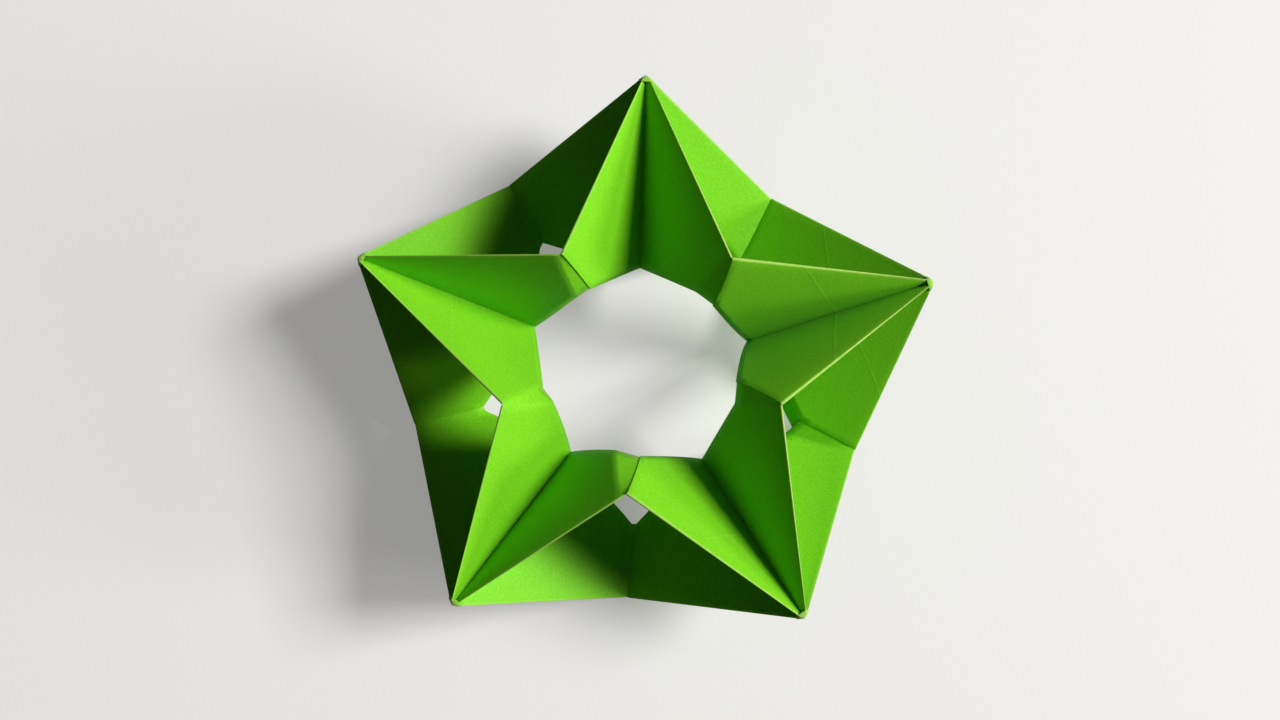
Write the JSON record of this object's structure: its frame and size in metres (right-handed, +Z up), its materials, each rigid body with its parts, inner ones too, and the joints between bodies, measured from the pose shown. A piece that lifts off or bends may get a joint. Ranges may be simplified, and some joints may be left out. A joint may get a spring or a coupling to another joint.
{
  "type": "modular origami star",
  "caption": "Folded paper star with an open middle, its hollow points joined tab in pocket into a ring, for decoration on a table or a wall.",
  "frame": {"origin": "axis of the ring, on the table that the star lies on", "axes": "+Z up along the ring's axis; +Y from the middle towards the tip of point_top; +X to the right as seen from above"},
  "size_m": [0.1524, 0.1451, 0.0505],
  "materials": {
    "paper": "matt"
  },
  "bodies": {
    "root": {"point_top": "paper", "point_upper_right": "paper", "point_lower_right": "paper", "point_lower_left": "paper", "point_upper_left": "paper"}
  },
  "joints": []
}
